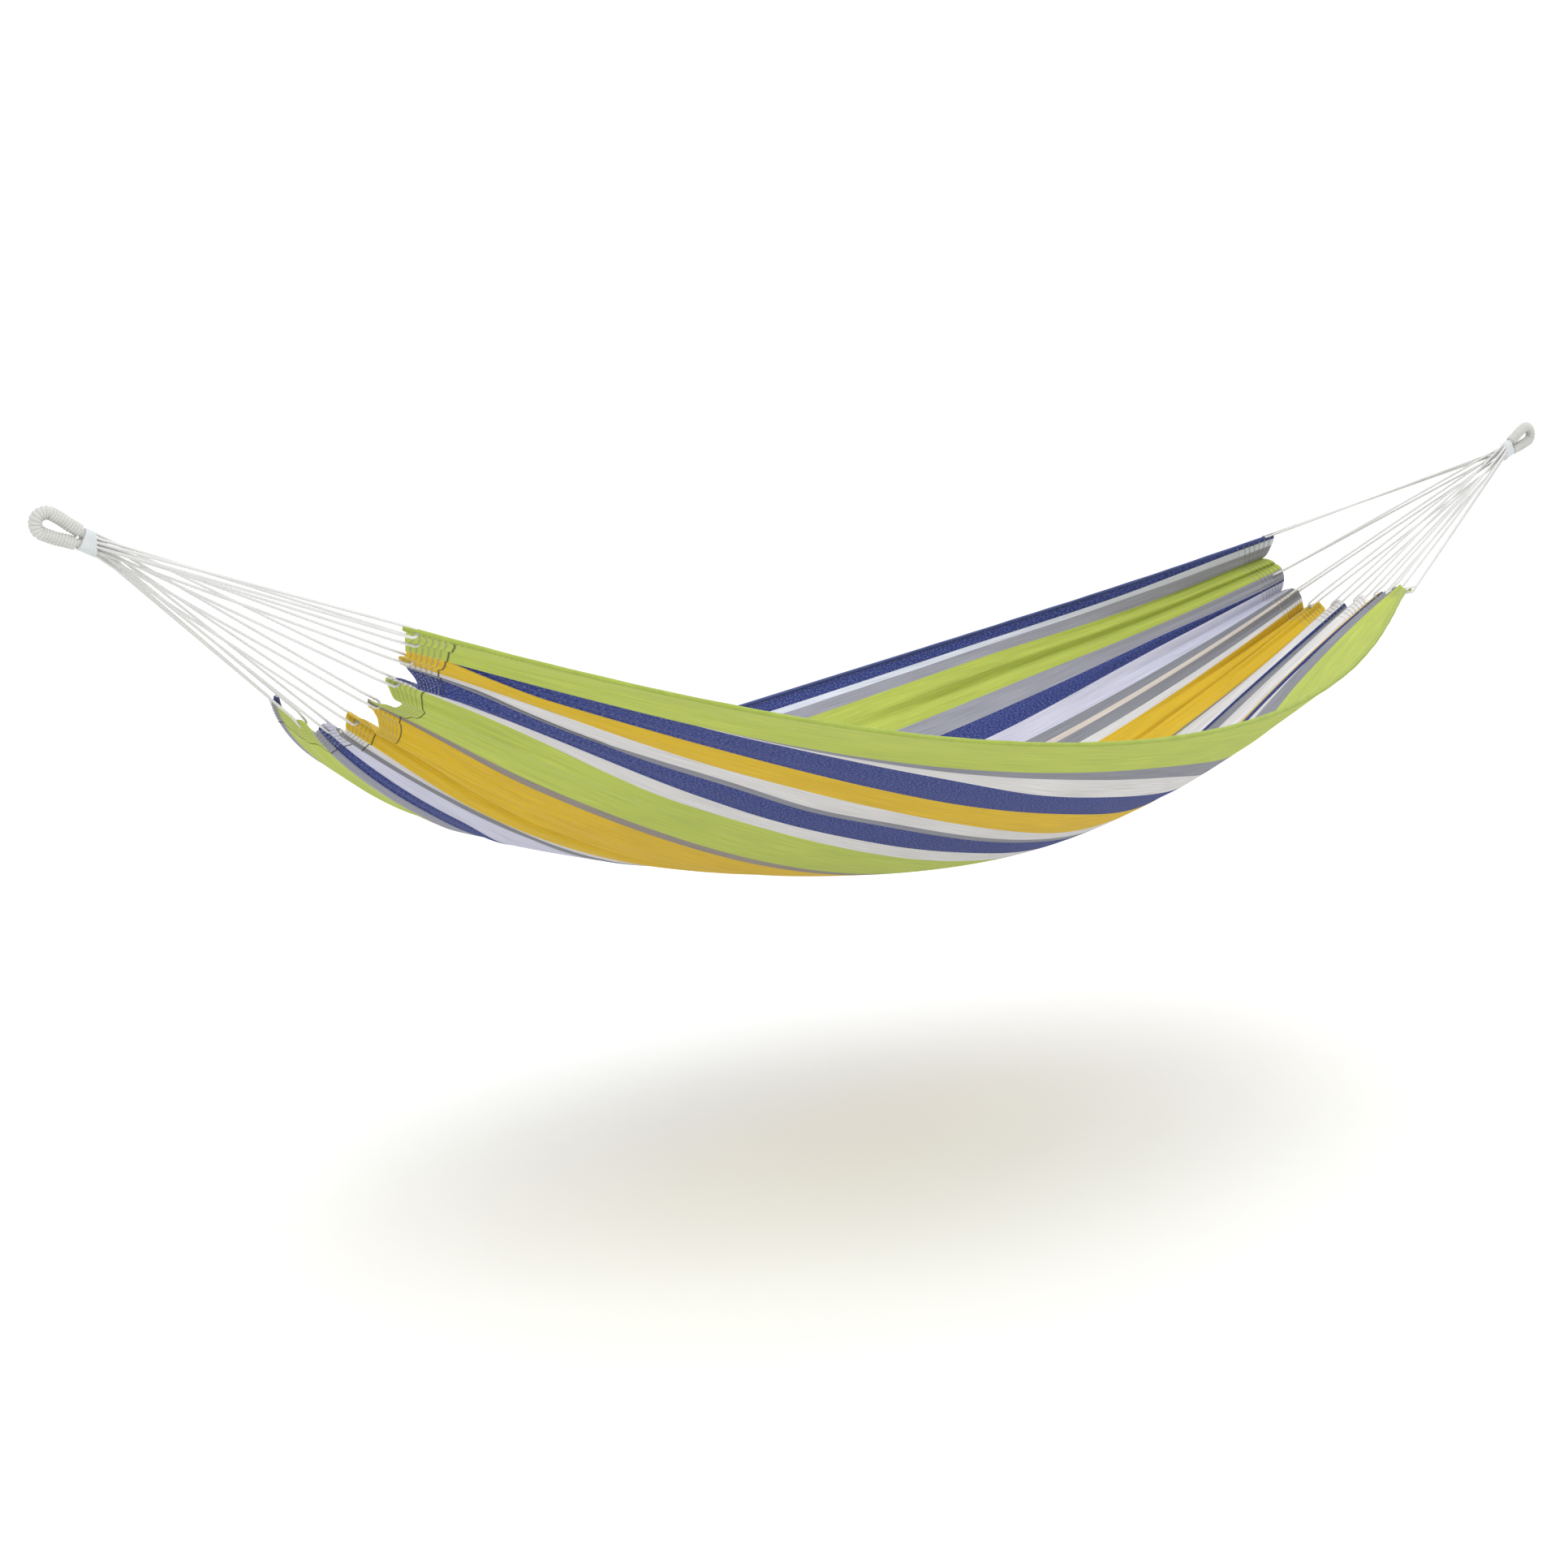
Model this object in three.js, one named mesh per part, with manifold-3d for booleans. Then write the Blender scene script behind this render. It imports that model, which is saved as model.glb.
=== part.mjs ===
// Cloth hammock without spreader bars, millimetres, +Z up.
// Origin: the seat of the left eye, where its hook carries it. +X runs to the right eye.
import * as THREE from 'three';
import { mergeVertices } from 'three/addons/utils/BufferGeometryUtils.js';
import Module from 'manifold-3d';

// Overall hang
const NECK_SPAN = 2900;          // left neck to right neck
const EYE_TILT = THREE.MathUtils.degToRad(26); // eyes lean up towards their hooks
const CLOTH_LENGTH = 2420;       // along the stripes
const CLOTH_WIDTH = 1500;        // across the stripes, laid flat

// The bed hangs through five ribs, left to right. Each is given by four points from its
// near edge to its far edge, measured from the middle of the line between the two necks.
const RIBS = [
  [[-1215, -400, -100], [-1135, -220, -180], [-1095, 15, -280], [-1090, 240, -275]],
  [[-585, -695, -260], [-535, -310, -410], [-540, 105, -570], [-575, 545, -485]],
  [[-10, -690, -305], [-5, -250, -550], [20, 220, -660], [0, 640, -455]],
  [[510, -480, -270], [500, -60, -535], [595, 275, -560], [495, 570, -355]],
  [[1000, -155, -235], [1090, 5, -265], [1110, 175, -285], [1080, 260, -155]],
];

// Cloth, bands and hems
const CLOTH_THICK = 3;
const BAND_THICK = 5;
const BAND_LENGTH = 60;          // doubled and stitched band at each end
const HEM_WIDTH = 10;            // rolled hem along each long edge
const HEM_THICK = 6;
const PART_GAP = 0.5;

// The nine lobes of each end, gathered by the clew cords
const CORD_COUNT = 9;
const LEFT_NOTCH = 36;           // depth of the scallop between two lobes
const RIGHT_NOTCH = 20;
const NOTCH_REACH = 0.15;        // share of the length over which it fades
const LEFT_PLEAT = 8;            // height of the pleats above and below the smooth bed
const RIGHT_PLEAT = 13;
const PLEAT_REACH = 0.3;
const CROSS_STEPS = 48;
const LENGTH_STEPS = 20;

// Clew cords
const CORD_DIAMETER = 3;
const CORD_SIDES = 8;
const BEND_RADIUS = 6;           // bend of a cord through its eyelet
const EYELET_INSET = 14;         // from the lobe's tip to the middle of that bend
const EYELET_CLEARANCE = 0.4;
const COLUMN_PITCH = 4.5;        // cords side by side at the neck
const ROW_PITCH = 5.4;
const SLOT_COLUMNS = [[0], [1, 2], [3, 4, 5], [6, 7], [8]];
const CORD_START = 1.3;          // the cords' ends stand off the neck plane

// Eyes: a bundle of cords bent into a loop, wrapped, and seized at the neck
const CORE_DIAMETER = 11;
const WRAP_DIAMETER = 19;
const EYE_LENGTH = 97;           // neck to outer tip
const EYE_HALF_WIDTH = 14.6;     // middle of the wrap to the eye's axis at the tip
const LEG_HALF_GAP = 5.8;        // middle of each leg to the axis inside the seizing
const NECK_TRIM = 8;             // run past the neck plane before it is trimmed
const SEIZING_LENGTH = 21;
const SEIZING_WALL = 3;

const PALE_CORD = 0xe9e6de;
const SEAT_DISTANCE = EYE_LENGTH - WRAP_DIAMETER;
const NECK = new THREE.Vector3(
  SEAT_DISTANCE * Math.cos(EYE_TILT), 0, -SEAT_DISTANCE * Math.sin(EYE_TILT));
const CENTRE = new THREE.Vector3(NECK.x + NECK_SPAN / 2, 0, NECK.z);

const wasm = await Module();
wasm.setup();

function material(color, roughness) {
  return new THREE.MeshStandardMaterial({ color, roughness, metalness: 0 });
}

function solidOf(geometry) {
  const bare = geometry.clone();
  bare.deleteAttribute('normal');
  bare.deleteAttribute('uv');
  const merged = mergeVertices(bare, 1e-4);
  return new wasm.Manifold(new wasm.Mesh({
    numProp: 3,
    vertProperties: new Float32Array(merged.attributes.position.array),
    triVerts: new Uint32Array(merged.index.array),
  }));
}

function geometryOf(solid) {
  const mesh = solid.getMesh();
  const geometry = new THREE.BufferGeometry();
  geometry.setAttribute('position', new THREE.BufferAttribute(mesh.vertProperties, 3));
  geometry.setIndex(new THREE.BufferAttribute(mesh.triVerts, 1));
  geometry.computeVertexNormals();
  return geometry;
}

// A route whose steps fall on its own points, so that straight runs stay cheap.
class Route extends THREE.CatmullRomCurve3 {
  getUtoTmapping(u) {
    return u;
  }
}

function roundSection(radius, sides) {
  const shape = new THREE.Shape();
  for (let i = 0; i < sides; i += 1) {
    const angle = (i / sides) * 2 * Math.PI;
    const x = radius * Math.cos(angle);
    const y = radius * Math.sin(angle);
    if (i === 0) shape.moveTo(x, y);
    else shape.lineTo(x, y);
  }
  shape.closePath();
  return shape;
}

function tube(points, radius, sides, steps) {
  const extrudePath = new Route(points);
  return new THREE.ExtrudeGeometry(roundSection(radius, sides), { steps, extrudePath });
}

// Value at u of the polynomial through evenly spaced values on 0..1.
function polynomial(values, u) {
  const last = values.length - 1;
  let sum = 0;
  values.forEach((value, i) => {
    let weight = 1;
    for (let j = 0; j <= last; j += 1) {
      if (j !== i) weight *= (u * last - j) / (i - j);
    }
    sum += value * weight;
  });
  return sum;
}

// The smooth bed: across 0 (near edge) to 1 (far edge), along 0 (left) to 1 (right).
function smoothPoint(across, along) {
  const onRib = (rib, axis) => polynomial(rib.map((point) => point[axis]), across);
  const point = [0, 1, 2].map((axis) => polynomial(RIBS.map((rib) => onRib(rib, axis)), along));
  return new THREE.Vector3(...point).add(CENTRE);
}

function bedNormal(across, along) {
  const d = 1e-3;
  const acrossStep = smoothPoint(across + d, along).sub(smoothPoint(across - d, along));
  const alongStep = smoothPoint(across, along + d).sub(smoothPoint(across, along - d));
  return alongStep.cross(acrossStep).normalize();
}

function fade(distance, reach) {
  return Math.max(0, 1 - distance / reach) ** 2;
}

// The gathered bed: notches and pleats between the lobes fade towards the middle.
function bedPoint(across, along, lift) {
  const wave = Math.cos(2 * Math.PI * (CORD_COUNT - 1) * across);
  const notch = LEFT_NOTCH * fade(along, NOTCH_REACH) - RIGHT_NOTCH * fade(1 - along, NOTCH_REACH);
  const pleat = wave * (LEFT_PLEAT * fade(along, PLEAT_REACH) + RIGHT_PLEAT * fade(1 - along, PLEAT_REACH));
  const place = along + (notch / CLOTH_LENGTH) * (1 - wave) / 2;
  return smoothPoint(across, place).addScaledVector(bedNormal(across, place), pleat + lift);
}

// Even steps over 0..1, cut short at both ends, so that neighbours share their lines.
function cutSteps(steps, from, to) {
  const values = [];
  for (let i = 0; i <= steps; i += 1) values.push(THREE.MathUtils.clamp(i / steps, from, to));
  return values;
}

const CLOTH_EDGE = (HEM_WIDTH + PART_GAP) / CLOTH_WIDTH;
const CLOTH_LINES = cutSteps(CROSS_STEPS, CLOTH_EDGE, 1 - CLOTH_EDGE);

// A closed sheet of the bed over the given lines across and along it.
function panel(acrossLines, alongLines, thickness) {
  const positions = [];
  const index = [];
  const acrossSteps = acrossLines.length - 1;
  const alongSteps = alongLines.length - 1;
  const row = acrossSteps + 1;
  const layer = row * (alongSteps + 1);
  for (const side of [1, -1]) {
    for (const along of alongLines) {
      for (const across of acrossLines) {
        positions.push(...bedPoint(across, along, (side * thickness) / 2).toArray());
      }
    }
  }
  const quad = (a, b, c, d) => index.push(a, b, c, a, c, d);
  for (let j = 0; j < alongSteps; j += 1) {
    for (let i = 0; i < acrossSteps; i += 1) {
      const a = j * row + i;
      quad(a, a + row, a + row + 1, a + 1);
      quad(layer + a, layer + a + 1, layer + a + row + 1, layer + a + row);
    }
  }
  for (let i = 0; i < acrossSteps; i += 1) {
    const end = alongSteps * row + i;
    quad(i, i + 1, layer + i + 1, layer + i);
    quad(end, layer + end, layer + end + 1, end + 1);
  }
  for (let j = 0; j < alongSteps; j += 1) {
    const near = j * row;
    const far = near + acrossSteps;
    quad(near, layer + near, layer + near + row, near + row);
    quad(far, far + row, layer + far + row, layer + far);
  }
  const geometry = new THREE.BufferGeometry();
  geometry.setAttribute('position', new THREE.Float32BufferAttribute(positions, 3));
  geometry.setIndex(index);
  geometry.computeVertexNormals();
  return geometry;
}

// Frame at the tip of one lobe: out points to the neck, up is the bed's normal.
function lobeFrame(number, rightEnd) {
  const across = number / (CORD_COUNT - 1);
  const along = rightEnd ? 1 : 0;
  const inside = rightEnd ? 1 - 0.01 : 0.01;
  const tip = bedPoint(across, along, 0);
  const out = tip.clone().sub(bedPoint(across, inside, 0)).normalize();
  return { tip, out, up: bedNormal(across, along) };
}

function neckPoint(rightEnd) {
  return NECK.clone().add(new THREE.Vector3(rightEnd ? NECK_SPAN : 0, 0, 0));
}

// Both places of one cord on the neck plane, upper leg first. In each column the
// legs keep the order of their lobes' heights, so that no two cords cross.
function neckSlots(number, rightEnd) {
  const column = SLOT_COLUMNS.findIndex((list) => list.includes(number));
  const height = (other) => lobeFrame(other, rightEnd).tip.z;
  const sorted = [...SLOT_COLUMNS[column]].sort((a, b) => height(b) - height(a));
  const place = sorted.indexOf(number);
  const rows = [sorted.length - place - 0.5, -place - 0.5];
  const inward = rightEnd ? -1 : 1;
  return rows.map((row) => neckPoint(rightEnd).add(new THREE.Vector3(
    inward * CORD_START,
    (column - 2) * COLUMN_PITCH,
    (row * ROW_PITCH) / Math.cos(EYE_TILT))));
}

function cordRoute(number, rightEnd) {
  const { tip, out, up } = lobeFrame(number, rightEnd);
  const [upper, lower] = neckSlots(number, rightEnd);
  const at = (outward, height) => tip.clone()
    .addScaledVector(out, outward).addScaledVector(up, height);
  const bend = [];
  for (let i = 0; i <= 6; i += 1) {
    const angle = (i / 6) * Math.PI;
    bend.push(at(-EYELET_INSET - BEND_RADIUS * Math.sin(angle), BEND_RADIUS * Math.cos(angle)));
  }
  const lead = 12;
  return [upper, at(lead, BEND_RADIUS), ...bend, at(lead, -BEND_RADIUS), lower];
}

function clewCord(number, rightEnd, radius) {
  const points = cordRoute(number, rightEnd);
  return tube(points, radius, CORD_SIDES, points.length - 1);
}

function endBand(rightEnd) {
  const share = BAND_LENGTH / CLOTH_LENGTH;
  const lines = rightEnd ? [1 - share, 1 - share / 2, 1] : [0, share / 2, share];
  let band = solidOf(panel([0, ...CLOTH_LINES, 1], lines, BAND_THICK));
  for (let number = 0; number < CORD_COUNT; number += 1) {
    const hole = clewCord(number, rightEnd, CORD_DIAMETER / 2 + EYELET_CLEARANCE);
    band = band.subtract(solidOf(hole));
  }
  return geometryOf(band);
}

// Middle line of the eye's loop in its own plane, from one leg round to the other.
// The legs lie side by side in the seizing, part under the wrap, and meet at the tip.
const SEIZED_LEG = [[-NECK_TRIM, LEG_HALF_GAP], [8, LEG_HALF_GAP], [SEIZING_LENGTH, 6.2]];
const WRAPPED_LEG = [[31, 9.9], [42, 11], [54, 13]];

function eyeLoop(half) {
  const middle = EYE_LENGTH - WRAP_DIAMETER / 2 - EYE_HALF_WIDTH;
  const points = half.map(([x, z]) => new THREE.Vector3(x, 0, z));
  for (let i = 0; i <= 8; i += 1) {
    const angle = Math.PI / 2 - (i / 8) * Math.PI;
    points.push(new THREE.Vector3(
      middle + EYE_HALF_WIDTH * Math.cos(angle), 0, EYE_HALF_WIDTH * Math.sin(angle)));
  }
  const back = [...half].reverse();
  return points.concat(back.map(([x, z]) => new THREE.Vector3(x, 0, -z)));
}

// Puts a piece drawn along +X from its neck onto one end, leaning up to the hook.
function placeEye(geometry, rightEnd) {
  const lean = rightEnd ? -EYE_TILT : Math.PI + EYE_TILT;
  const neck = neckPoint(rightEnd);
  geometry.rotateY(lean);
  geometry.translate(neck.x, neck.y, neck.z);
  return geometry;
}

// Trims a piece of an eye at the neck plane, where the cords take over.
function trimAtNeck(geometry, rightEnd) {
  const reach = 200;
  const box = new THREE.BoxGeometry(reach, reach, reach);
  const inward = rightEnd ? -1 : 1;
  const neck = neckPoint(rightEnd);
  box.translate(neck.x + (inward * reach) / 2, neck.y, neck.z);
  return geometryOf(solidOf(geometry).subtract(solidOf(box)));
}

function eyeCore(rightEnd) {
  const core = tube(eyeLoop([...SEIZED_LEG, ...WRAPPED_LEG]), CORE_DIAMETER / 2, 10, 28);
  return trimAtNeck(placeEye(core, rightEnd), rightEnd);
}

function eyeWrap(rightEnd) {
  const outer = solidOf(tube(eyeLoop(WRAPPED_LEG), WRAP_DIAMETER / 2, 12, 26));
  const whole = eyeLoop([...SEIZED_LEG, ...WRAPPED_LEG]);
  const inner = solidOf(tube(whole, CORE_DIAMETER / 2 + PART_GAP, 10, 28));
  return placeEye(geometryOf(outer.subtract(inner)), rightEnd);
}

function stadium(halfLength, radius, target) {
  target.absarc(halfLength, 0, radius, -Math.PI / 2, Math.PI / 2, false);
  target.absarc(-halfLength, 0, radius, Math.PI / 2, (3 * Math.PI) / 2, false);
  return target;
}

function neckSeizing(rightEnd) {
  const inner = CORE_DIAMETER / 2 + 1.5;
  const shape = stadium(LEG_HALF_GAP, inner + SEIZING_WALL, new THREE.Shape());
  shape.holes.push(stadium(LEG_HALF_GAP, inner, new THREE.Path()));
  const ring = new THREE.ExtrudeGeometry(shape, {
    depth: SEIZING_LENGTH + NECK_TRIM, steps: 1, bevelEnabled: false, curveSegments: 8,
  });
  ring.rotateY(Math.PI / 2);
  ring.translate(-NECK_TRIM, 0, 0);
  return trimAtNeck(placeEye(ring, rightEnd), rightEnd);
}

const group = new THREE.Group();

function add(name, geometry, color, roughness) {
  const mesh = new THREE.Mesh(geometry, material(color, roughness));
  mesh.name = name;
  group.add(mesh);
}

const bandEdge = (BAND_LENGTH + PART_GAP) / CLOTH_LENGTH;
const hemEdge = HEM_WIDTH / CLOTH_WIDTH;
const lengthLines = cutSteps(LENGTH_STEPS, bandEdge, 1 - bandEdge);
add('bed_cloth', panel(CLOTH_LINES, lengthLines, CLOTH_THICK), 0x9fb84a, 0.9);
add('near_edge_hem', panel([0, hemEdge], lengthLines, HEM_THICK), 0x8fb03a, 0.9);
add('far_edge_hem', panel([1 - hemEdge, 1], lengthLines, HEM_THICK), 0x39456e, 0.9);

for (const [side, rightEnd] of [['left', false], ['right', true]]) {
  add(`${side}_eye_core`, eyeCore(rightEnd), PALE_CORD, 0.85);
  add(`${side}_eye_wrap`, eyeWrap(rightEnd), PALE_CORD, 0.85);
  add(`${side}_neck_seizing`, neckSeizing(rightEnd), 0xd9dcdd, 0.85);
  add(`${side}_end_band`, endBand(rightEnd), 0xd7a62c, 0.9);
  for (let number = 0; number < CORD_COUNT; number += 1) {
    add(`${side}_clew_cord_${number + 1}`, clewCord(number, rightEnd, CORD_DIAMETER / 2), PALE_CORD, 0.85);
  }
}

export default group;
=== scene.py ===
import math

import bpy
import numpy as np
from mathutils import Matrix, Vector


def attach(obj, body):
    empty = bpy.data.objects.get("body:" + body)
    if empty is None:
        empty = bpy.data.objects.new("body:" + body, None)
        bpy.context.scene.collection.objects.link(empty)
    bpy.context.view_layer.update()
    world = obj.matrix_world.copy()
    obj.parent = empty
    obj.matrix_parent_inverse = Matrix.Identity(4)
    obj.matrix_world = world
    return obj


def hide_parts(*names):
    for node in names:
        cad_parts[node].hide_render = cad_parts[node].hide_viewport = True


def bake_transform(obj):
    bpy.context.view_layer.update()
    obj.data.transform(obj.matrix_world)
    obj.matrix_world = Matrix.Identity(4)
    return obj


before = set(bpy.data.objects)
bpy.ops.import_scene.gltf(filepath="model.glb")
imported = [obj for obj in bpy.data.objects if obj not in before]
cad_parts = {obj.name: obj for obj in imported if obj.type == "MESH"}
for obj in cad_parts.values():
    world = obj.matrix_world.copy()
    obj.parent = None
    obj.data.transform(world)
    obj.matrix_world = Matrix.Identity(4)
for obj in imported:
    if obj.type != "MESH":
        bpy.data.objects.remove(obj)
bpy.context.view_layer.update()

# ---------------------------------------------------------------- driving dimensions, in metres
NECK_SPAN = 2.9
EYE_TILT = math.radians(26)
CLOTH_LENGTH = 2.42
CLOTH_WIDTH = 1.5
EYE_LENGTH = 0.097
WRAP_DIAMETER = 0.019
EYE_HALF_WIDTH = 0.0146
LEG_HALF_GAP = 0.0058
SEIZING_LENGTH = 0.021
SEIZING_RADIUS = 0.010
CORD_COUNT = 9
VISIBLE_CORD = 0.0044
BEND_RADIUS = 0.006
EYELET_INSET = 0.014
COLUMN_PITCH = 0.0045
ROW_PITCH = 0.0054
CORD_START = 0.0013
# Cords that leave the neck above each other, column by column.
SLOT_COLUMNS = [[0], [1, 2], [3, 4, 5], [6, 7], [8]]
LEFT_NOTCH = 0.036
RIGHT_NOTCH = 0.020
NOTCH_REACH = 0.15
LEFT_PLEAT = 0.008
RIGHT_PLEAT = 0.013
PLEAT_REACH = 0.3
SCALLOP_REACH = 0.07
FAR_LEFT_SLACK = 0.014
CLOTH_THICKNESS = 0.0014
HEM_ROLL_RADIUS = 0.0044
HEM_ROLL_INSET = 0.0035
STITCH_ROW_PITCH = 0.0070
STITCH_ROW_COUNT = 6
FIRST_STITCH_ROW = 0.006
BAND_LENGTH = 0.050
RIM_STITCH_INSET = 0.0105
STITCH_LIFT = 0.0008
EYELET_RADIUS = 0.0027
FLOOR_DROP = 1.15

# Camera, from the middle of the line between the necks.
CAMERA_PLACE = [-2.864, -3.4214, 0.3517]
CAMERA_YAW = math.radians(36.740)
CAMERA_PITCH = math.radians(-10.712)
CAMERA_ROLL = math.radians(-0.236)
LENS = 62.11

# Five ribs of the bed, left to right, each by four points from the near to the far edge.
RIBS = np.array([
    [[-1.215, -0.400, -0.100], [-1.135, -0.220, -0.180], [-1.095, 0.015, -0.280], [-1.090, 0.240, -0.275]],
    [[-0.585, -0.695, -0.260], [-0.535, -0.310, -0.410], [-0.540, 0.105, -0.570], [-0.575, 0.545, -0.485]],
    [[-0.010, -0.690, -0.305], [-0.005, -0.250, -0.550], [0.020, 0.220, -0.660], [0.000, 0.640, -0.455]],
    [[0.510, -0.480, -0.270], [0.500, -0.060, -0.535], [0.595, 0.275, -0.560], [0.495, 0.570, -0.355]],
    [[1.000, -0.155, -0.235], [1.090, 0.005, -0.265], [1.110, 0.175, -0.285], [1.080, 0.260, -0.155]],
])
SEAT_DISTANCE = EYE_LENGTH - WRAP_DIAMETER
NECK = np.array([SEAT_DISTANCE * math.cos(EYE_TILT), 0, -SEAT_DISTANCE * math.sin(EYE_TILT)])
CENTRE = NECK + [NECK_SPAN / 2, 0, 0]

# Stripes from the near edge: colour name and share of the width in thousandths.
STRIPES = [
    ("green", 125), ("grey", 13), ("white", 31), ("blue", 73), ("yellow", 49), ("white", 32),
    ("grey", 12), ("blue", 50), ("white", 30), ("green", 94), ("taupe", 21), ("yellow", 160),
    ("white", 27), ("grey", 26), ("cream", 14), ("grey", 23), ("lavender", 40), ("blue", 36),
    ("steel", 37), ("green", 64), ("steel", 14), ("pale", 9), ("blue", 20),
]
COLOURS = {
    "green": (175, 188, 79),
    "grey": (132, 133, 138),
    "steel": (150, 151, 160),
    "white": (209, 207, 206),
    "pale": (210, 216, 230),
    "blue": (40, 50, 112),
    "yellow": (208, 172, 22),
    "taupe": (140, 130, 118),
    "cream": (206, 196, 186),
    "lavender": (196, 196, 214),
}
GREEN_HEM_COLOUR = (150, 166, 70)
BLUE_HEM_COLOUR = (66, 78, 128)
DARK_THREAD_COLOUR = (70, 68, 58)
PALE_THREAD_COLOUR = (170, 172, 150)
CORD_COLOUR = (212, 212, 210)
EYE_COLOUR = (198, 198, 194)
TWINE_COLOUR = (206, 210, 212)
EDGES = np.concatenate([[0], np.cumsum([share for _, share in STRIPES])])
EDGES = EDGES / EDGES[-1]


# ---------------------------------------------------------------- camera
def look_matrix(place, yaw, pitch, roll):
    """Camera at place, yaw turned from +Y towards +X, pitch above the horizon."""
    ahead = Vector((math.sin(yaw) * math.cos(pitch), math.cos(yaw) * math.cos(pitch), math.sin(pitch)))
    right = Vector((math.cos(yaw), -math.sin(yaw), 0))
    up = right.cross(ahead)
    turned = right * math.cos(roll) + up * math.sin(roll)
    above = up * math.cos(roll) - right * math.sin(roll)
    matrix = Matrix.Identity(4)
    for row in range(3):
        matrix[row][0] = turned[row]
        matrix[row][1] = above[row]
        matrix[row][2] = -ahead[row]
        matrix[row][3] = place[row]
    return matrix


def add_camera():
    data = bpy.data.cameras.new("camera")
    data.sensor_width = 36
    data.lens = LENS
    camera = bpy.data.objects.new("camera", data)
    bpy.context.scene.collection.objects.link(camera)
    camera.matrix_world = look_matrix(CENTRE + CAMERA_PLACE, CAMERA_YAW, CAMERA_PITCH, CAMERA_ROLL)
    bpy.context.scene.camera = camera


# ---------------------------------------------------------------- surface of the bed
def polynomial_weights(u, count):
    """Weights of evenly spaced values on 0..1 at u, one column for each value."""
    u = np.asarray(u, float)
    columns = []
    for i in range(count):
        weight = np.ones_like(u)
        for j in range(count):
            if j != i:
                weight = weight * (u * (count - 1) - j) / (i - j)
        columns.append(weight)
    return np.stack(columns, -1)


def smooth_point(across, along):
    """The bed's middle surface without pleats, from the five ribs."""
    across, along = np.broadcast_arrays(across, along)
    ribs = polynomial_weights(along, len(RIBS))
    points = polynomial_weights(across, RIBS.shape[1])
    return np.einsum("...r,...k,rkc->...c", ribs, points, RIBS) + CENTRE


def unit(v):
    return v / np.linalg.norm(v, axis=-1, keepdims=True)


def bed_normal(across, along):
    d = 1e-3
    across_step = smooth_point(across + d, along) - smooth_point(across - d, along)
    along_step = smooth_point(across, along + d) - smooth_point(across, along - d)
    return unit(np.cross(along_step, across_step))


def fade(distance, reach):
    """One at the hem, then a smooth fall to nothing at reach."""
    return np.maximum(0, 1 - distance / reach) ** 2


def bed_point(across, along):
    """The CAD bed's middle surface, with its even pleats and notches."""
    wave = np.cos(2 * np.pi * (CORD_COUNT - 1) * across)
    notch = LEFT_NOTCH * fade(along, NOTCH_REACH) - RIGHT_NOTCH * fade(1 - along, NOTCH_REACH)
    place = along + notch / CLOTH_LENGTH * (1 - wave) / 2
    pleat = wave * (LEFT_PLEAT * fade(along, PLEAT_REACH) + RIGHT_PLEAT * fade(1 - along, PLEAT_REACH))
    return smooth_point(across, place) + bed_normal(across, place) * pleat[..., None]


# ---------------------------------------------------------------- mesh helpers
def add_mesh(name, points, faces, smooth=True):
    mesh = bpy.data.meshes.new(name)
    mesh.from_pydata([tuple(p) for p in points], [], faces)
    mesh.update()
    if smooth:
        mesh.shade_smooth()
    piece = bpy.data.objects.new(name, mesh)
    bpy.context.scene.collection.objects.link(piece)
    return piece


def even_path(points, step):
    """The same polyline in even steps."""
    points = np.asarray(points, float)
    lengths = np.concatenate([[0], np.cumsum(np.linalg.norm(np.diff(points, axis=0), axis=1))])
    count = max(2, int(round(lengths[-1] / step)) + 1)
    at = np.linspace(0, lengths[-1], count)
    return np.stack([np.interp(at, lengths, points[:, c]) for c in range(3)], -1)


def path_frames(points, first_side=None):
    """Side and up vectors along a path that turn as little as possible."""
    ahead = unit(np.gradient(points, axis=0))
    side = np.array([0, 0, 1.0]) if first_side is None else np.array(first_side, float)
    if abs(side @ ahead[0]) > 0.95:
        side = np.array([0, 1.0, 0])
    sides = []
    for direction in ahead:
        side = side - direction * (side @ direction)
        side = side / np.linalg.norm(side)
        sides.append(side)
    sides = np.array(sides)
    return sides, np.cross(ahead, sides)


def tube_rings(points, radius_at, sides_count, first_side=None, oval=(1, 1)):
    """Rings round a path. radius_at(distance, angle) gives the radius."""
    points = np.asarray(points, float)
    sides, ups = path_frames(points, first_side)
    run = np.concatenate([[0], np.cumsum(np.linalg.norm(np.diff(points, axis=0), axis=1))])
    angle = np.arange(sides_count) * 2 * np.pi / sides_count
    radius = radius_at(run[:, None], angle[None, :]) * np.ones((len(points), sides_count))
    return (points[:, None]
            + sides[:, None] * (radius * oval[0] * np.cos(angle))[..., None]
            + ups[:, None] * (radius * oval[1] * np.sin(angle))[..., None])


def ring_faces(rings, around, offset=0):
    """Quads between rings of the same count, with a cap at each end."""
    faces = []
    for i in range(rings - 1):
        for j in range(around):
            a = offset + i * around + j
            b = offset + i * around + (j + 1) % around
            faces.append((a, b, b + around, a + around))
    faces.append(tuple(offset + j for j in reversed(range(around))))
    faces.append(tuple(offset + (rings - 1) * around + j for j in range(around)))
    return faces


def add_tube(name, points, radius_at, sides_count, first_side=None, oval=(1, 1)):
    rings = tube_rings(points, radius_at, sides_count, first_side, oval)
    return add_mesh(name, rings.reshape(-1, 3), ring_faces(len(rings), sides_count))


def neck_point(right_end):
    return NECK + [NECK_SPAN if right_end else 0, 0, 0]


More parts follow.
